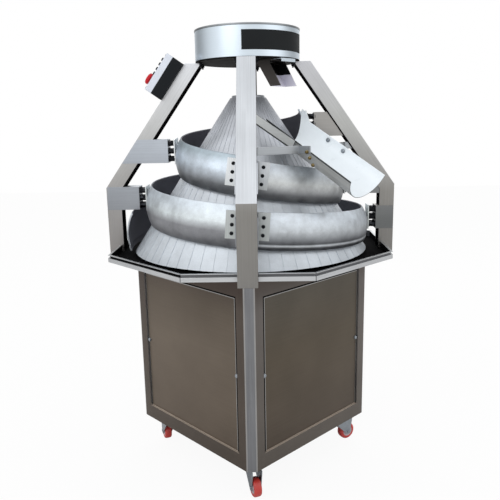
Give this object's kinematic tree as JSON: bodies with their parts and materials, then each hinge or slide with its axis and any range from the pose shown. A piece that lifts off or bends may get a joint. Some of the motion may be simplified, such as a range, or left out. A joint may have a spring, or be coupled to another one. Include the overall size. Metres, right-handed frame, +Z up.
{
  "type": "dough rounder",
  "caption": "Conical dough rounder: a fluted cone turns inside a rising spiral track held by bent posts over a cabinet on castors, with a flour hopper, outlet chute and control box.",
  "frame": {"origin": "on the floor, on the cone axis, midway between the outer faces of the posts", "axes": "+Z up along the cone axis, -Y to the front post, +X to the right post"},
  "size_m": [1, 1, 1.515],
  "materials": {
    "cabinet_frame": "brushed stainless steel",
    "cabinet_panel": "brushed stainless steel, dark reflections",
    "screws": "bright screws",
    "tray": "satin stainless sheet",
    "posts": "brushed stainless steel",
    "brackets": "satin stainless sheet",
    "track": "satin cast aluminium",
    "cone": "satin fluted aluminium",
    "chute": "white, smooth",
    "hopper": "polished stainless steel",
    "hopper_floor": "dark satin",
    "spout": "stainless sheet",
    "box_base": "black moulded",
    "box_lid": "pale moulded",
    "stop": "red moulded",
    "castor_steel": "zinc plated pressed steel",
    "castor_wheel": "red tread, pale hub",
    "drive": "painted housing",
    "shaft": "machined steel"
  },
  "bodies": {
    "base": {"corner_uprights": "cabinet_frame", "frame_rails": "cabinet_frame", "floor_plate": "cabinet_frame", "deck_plate": "cabinet_frame", "catch_tray": "tray", "panel_front_left": "cabinet_panel", "panel_front_right": "cabinet_panel", "panel_rear_right": "cabinet_panel", "panel_rear_left": "cabinet_panel", "panel_screws": "screws", "castor_plates": "castor_steel", "post_front": "posts", "post_right": "posts", "post_rear": "posts", "post_left": "posts", "brackets_front": "brackets", "brackets_right": "brackets", "brackets_rear": "brackets", "brackets_left": "brackets", "track_saddles": "brackets", "track_studs": "screws", "track_segment_1": "track", "track_segment_2": "track", "track_segment_3": "track", "track_segment_4": "track", "track_segment_5": "track", "outlet_chute": "chute", "chute_deflector": "brackets", "chute_supports": "brackets", "hopper_base": "hopper_floor", "hopper_shell": "hopper", "stirrer_motor": "hopper_floor", "flour_spout": "spout", "control_box": "box_base", "control_lid": "box_lid", "bearing_column": "drive", "gearbox": "drive", "drive_motor": "drive", "cable_gland": "box_base"},
    "cone": {"cone_shell": "cone", "cone_cap": "cone", "main_shaft": "shaft"},
    "rotor": {"motor_rotor": "shaft"},
    "stirrer": {"flour_stirrer": "spout"},
    "gate": {"flour_gate": "hopper"},
    "lid": {"hopper_lid": "hopper"},
    "stop": {"stop_button": "stop"},
    "button_1": {"push_button_1": "box_base"},
    "button_2": {"push_button_2": "box_base"},
    "button_3": {"push_button_3": "box_base"},
    "button_4": {"push_button_4": "box_base"},
    "fork_front": {"castor_fork_front": "castor_steel"},
    "wheel_front": {"castor_wheel_front": "castor_wheel"},
    "fork_right": {"castor_fork_right": "castor_steel"},
    "wheel_right": {"castor_wheel_right": "castor_wheel"},
    "fork_rear": {"castor_fork_rear": "castor_steel"},
    "wheel_rear": {"castor_wheel_rear": "castor_wheel"},
    "fork_left": {"castor_fork_left": "castor_steel"},
    "wheel_left": {"castor_wheel_left": "castor_wheel"}
  },
  "joints": [
    {"name": "cone_spin", "type": "hinge", "parent": "base", "child": "cone", "pos_m": [0, 0, 0.765], "axis": [0, 0, 1], "continuous": true},
    {"name": "rotor_spin", "type": "hinge", "parent": "base", "child": "rotor", "pos_m": [0.00849, 0.11455, 0.641], "axis": [0.7071, 0.7071, 0], "continuous": true},
    {"name": "stirrer_spin", "type": "hinge", "parent": "base", "child": "stirrer", "pos_m": [0, 0, 1.455], "axis": [0, 0, 1], "continuous": true},
    {"name": "gate_slide", "type": "slide", "parent": "base", "child": "gate", "axis": [0.7071, -0.7071, 0], "range_m": [0, 0.05]},
    {"name": "lid_lift", "type": "slide", "parent": "base", "child": "lid", "axis": [0, 0, 1], "range_m": [0, 0.12]},
    {"name": "stop_press", "type": "slide", "parent": "base", "child": "stop", "axis": [0.8177, 0, -0.5756], "range_m": [0, 0.004], "stiffness_N_per_m": 1500},
    {"name": "button_1_press", "type": "slide", "parent": "base", "child": "button_1", "axis": [0.8177, 0, -0.5756], "range_m": [0, 0.002], "stiffness_N_per_m": 600},
    {"name": "button_2_press", "type": "slide", "parent": "base", "child": "button_2", "axis": [0.8177, 0, -0.5756], "range_m": [0, 0.002], "stiffness_N_per_m": 600},
    {"name": "button_3_press", "type": "slide", "parent": "base", "child": "button_3", "axis": [0.8177, 0, -0.5756], "range_m": [0, 0.002], "stiffness_N_per_m": 600},
    {"name": "button_4_press", "type": "slide", "parent": "base", "child": "button_4", "axis": [0.8177, 0, -0.5756], "range_m": [0, 0.002], "stiffness_N_per_m": 600},
    {"name": "swivel_front", "type": "hinge", "parent": "base", "child": "fork_front", "pos_m": [0, -0.33, 0.1], "axis": [0, 0, 1], "continuous": true},
    {"name": "roll_front", "type": "hinge", "parent": "fork_front", "child": "wheel_front", "pos_m": [0.00889, -0.35443, 0.032], "axis": [0.9397, 0.342, 0], "continuous": true},
    {"name": "swivel_right", "type": "hinge", "parent": "base", "child": "fork_right", "pos_m": [0.33, 0, 0.1], "axis": [0, 0, 1], "continuous": true},
    {"name": "roll_right", "type": "hinge", "parent": "fork_right", "child": "wheel_right", "pos_m": [0.35205, 0.01378, 0.032], "axis": [-0.5299, 0.848, 0], "continuous": true},
    {"name": "swivel_rear", "type": "hinge", "parent": "base", "child": "fork_rear", "pos_m": [0, 0.33, 0.1], "axis": [0, 0, 1], "continuous": true},
    {"name": "roll_rear", "type": "hinge", "parent": "fork_rear", "child": "wheel_rear", "pos_m": [-0.013, 0.35252, 0.032], "axis": [-0.866, -0.5, 0], "continuous": true},
    {"name": "swivel_left", "type": "hinge", "parent": "base", "child": "fork_left", "pos_m": [-0.33, 0, 0.1], "axis": [0, 0, 1], "continuous": true},
    {"name": "roll_left", "type": "hinge", "parent": "fork_left", "child": "wheel_left", "pos_m": [-0.33974, 0.02411, 0.032], "axis": [-0.9272, -0.3746, 0], "continuous": true}
  ],
  "couplings": [
    {"joint": "rotor_spin", "follows": "cone_spin", "ratio": 20}
  ]
}
